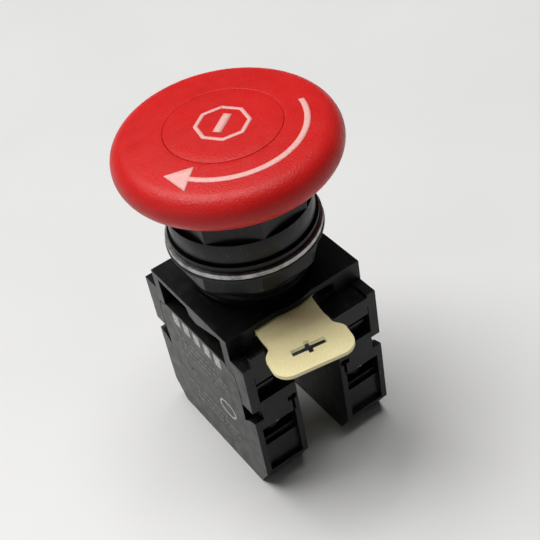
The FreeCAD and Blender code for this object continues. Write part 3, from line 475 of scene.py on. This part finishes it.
def build_marks():
    """Prints on the head and on the left block's label side, all of them generic."""
    arrow_ink = ink("arrow_ink", (0.74, 0.40, 0.37), (0.70, 0.20, 0.18), 0.5, 0.5)
    turn_arrow(arrow_ink)
    stop_pictogram(arrow_ink)
    strong = ink("label_ink", (0.55, 0.55, 0.54), (0.16, 0.16, 0.16), 0.7, 0.5)
    faint = ink("small_print_ink", (0.2, 0.2, 0.2), (0.05, 0.05, 0.05), 0.85, 0.4)
    blocks = []
    for i in range(BLOCK_COUNT):
        rear = BLOCK_REAR_Y - BLOCK_PITCH * i
        line = [(rear, BLOCK_Z), (rear - BLOCK_WIDTH, BLOCK_Z)]
        blocks.append(stroke_rows(line, BLOCK_HALF))
    side_mark("label_blocks", blocks, strong)
    small_print = label_dashes(*SMALL_PRINT_UPPER) + label_dashes(*SMALL_PRINT_LOWER)
    side_mark("label_small_print", small_print, faint)
    contact = [[(4.0, -30.6), (4.0, -31.9)], [(4.0, -34.6), (6.0, -31.6)],
               [(4.0, -31.9), (6.2, -31.9)], [(4.0, -34.6), (4.0, -35.6)]]
    side_mark("label_contact", [stroke_rows(line, CONTACT_LINE_HALF) for line in contact], faint)
    oval = []
    for degrees in range(0, 360, 15):
        angle = math.radians(degrees)
        oval.append((OVAL_MIDDLE[0] + OVAL_REACH[0] * math.cos(angle),
                     OVAL_MIDDLE[1] + OVAL_REACH[1] * math.sin(angle)))
    side_mark("label_oval", [stroke_rows(oval, OVAL_LINE_HALF, closed=True)], strong)


def shank_thread(material):
    """The thread ridge on the shank between the nut and the adapter."""
    count = round((THREAD_TOP - THREAD_BOTTOM) / THREAD_PITCH * THREAD_STEPS)
    points, faces = [], []
    for i in range(count + 1):
        angle = 2 * math.pi * i / THREAD_STEPS
        z = THREAD_TOP - THREAD_PITCH * i / THREAD_STEPS
        rise = min(1.0, i / THREAD_FADE, (count - i) / THREAD_FADE)
        outer = THREAD_ROOT + (THREAD_CREST - THREAD_ROOT) * rise
        profile = ((THREAD_ROOT, THREAD_FOOT_HALF), (outer, THREAD_TIP_HALF),
                   (outer, -THREAD_TIP_HALF), (THREAD_ROOT, -THREAD_FOOT_HALF))
        for radius, offset in profile:
            points.append((radius * math.cos(angle), radius * math.sin(angle), z + offset))
    for i in range(count):
        for k in range(4):
            a, b = 4 * i + k, 4 * i + (k + 1) % 4
            faces.append((a, b, b + 4, a + 4))
    faces += [(3, 2, 1, 0), tuple(4 * count + k for k in range(4))]
    mesh_object("shank_thread", points, faces, material, "base", smooth=False)


def split_latch_springs(material):
    """Each latch spring as its own piece."""
    both = frame["nodes"]["latch_springs"]
    for side, sign in (("left", -1), ("right", 1)):
        work = bmesh.new()
        work.from_mesh(both.data)
        other = [v for v in work.verts if (both.matrix_world @ v.co).x * sign < 0]
        bmesh.ops.delete(work, geom=other, context="VERTS")
        mesh = bpy.data.meshes.new(f"{side}_latch_spring")
        work.to_mesh(mesh)
        work.free()
        mesh.materials.append(material)
        spring = bpy.data.objects.new(f"{side}_latch_spring", mesh)
        spring.matrix_world = both.matrix_world.copy()
        bpy.context.scene.collection.objects.link(spring)
        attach(spring, "base")
        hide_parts("latch_springs")
        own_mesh(spring)


def squash_springs():
    """Gives each coil spring its own copy of its mesh."""
    frame_nodes = frame["nodes"]
    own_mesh(frame_nodes["return_spring"])
    for side in ("left", "right"):
        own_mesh(frame_nodes[f"{side}_plunger_spring"])
    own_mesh(frame_nodes["right_contact_spring"])


def build_floor():
    bpy.ops.mesh.primitive_plane_add(size=FLOOR_SIZE, location=(0, 0, BOX_AT_START[0].z))
    floor = bpy.context.object
    floor.name = "table"
    floor.data.materials.append(floor_material())


def area_light(name, place, size, energy, colour=(1.0, 1.0, 1.0)):
    """A rectangular lamp that faces the origin."""
    data = bpy.data.lights.new(name, "AREA")
    data.shape = "RECTANGLE"
    data.size, data.size_y = size
    data.energy = energy
    data.color = colour
    light = bpy.data.objects.new(name, data)
    light.location = place
    light.rotation_mode = "QUATERNION"
    light.rotation_quaternion = (-Vector(place)).to_track_quat("-Z", "Y")
    bpy.context.scene.collection.objects.link(light)


def build_room():
    """A dim room: lighter to the left, dark behind the object's right side and in front of it."""
    world = bpy.data.worlds.new("room")
    world.use_nodes = True
    n = Nodes(world.node_tree)
    way = n.add("ShaderNodeTexCoord").outputs["Generated"]
    dark_side = Vector((0.45, 0.6, 0.66)).normalized()
    dark = n.add("ShaderNodeVectorMath", {0: way, 1: dark_side},
                 operation="DOT_PRODUCT").outputs["Value"]
    strength = n.ramp(dark, -0.3, 0.7, 0.26, 0.05)
    front = n.add("ShaderNodeVectorMath", {0: way, 1: Vector((0.25, -0.95, 0.15)).normalized()},
                  operation="DOT_PRODUCT").outputs["Value"]
    strength = n.math("MULTIPLY", strength, n.ramp(front, -0.1, 0.6, 1.0, 0.12))
    background = n.add("ShaderNodeBackground", {"Color": rgba((0.95, 0.97, 1.0)),
                                                "Strength": strength})
    n.add("ShaderNodeOutputWorld", {"Surface": background.outputs["Background"]})
    bpy.context.scene.world = world


def build_light():
    area_light("ceiling_panel", (-0.34, 0.48, 1.45), (1.05, 0.85), 25.0, (1.0, 0.995, 0.98))
    area_light("second_panel", (0.28, 0.02, 1.50), (0.7, 0.55), 9.0)
    area_light("left_fill", (-0.85, -0.25, 0.30), (0.5, 0.4), 0.5)
    bpy.context.scene.view_settings.view_transform = "Standard"


def build_camera():
    azimuth, elevation = math.radians(CAMERA_AZIMUTH), math.radians(CAMERA_ELEVATION)
    back = Vector((math.sin(azimuth) * math.cos(elevation),
                   -math.cos(azimuth) * math.cos(elevation),
                   math.sin(elevation)))
    data = bpy.data.cameras.new("camera")
    data.lens = CAMERA_LENS
    data.sensor_width = CAMERA_SENSOR
    data.shift_x, data.shift_y = CAMERA_SHIFT
    data.clip_start, data.clip_end = 0.01, 20.0
    camera = bpy.data.objects.new("camera", data)
    camera.location = CAMERA_PLACE
    camera.rotation_mode = "QUATERNION"
    roll = Quaternion((0, 0, 1), math.radians(CAMERA_ROLL))
    camera.rotation_quaternion = (-back).to_track_quat("-Z", "Y") @ roll
    bpy.context.scene.collection.objects.link(camera)
    bpy.context.scene.camera = camera


materials = slot_materials()
dress_cad(materials)
shank_thread(materials["black_plastic"])
build_marks()
split_latch_springs(materials["spring_steel"])
squash_springs()
build_floor()
build_room()
build_light()
build_camera()
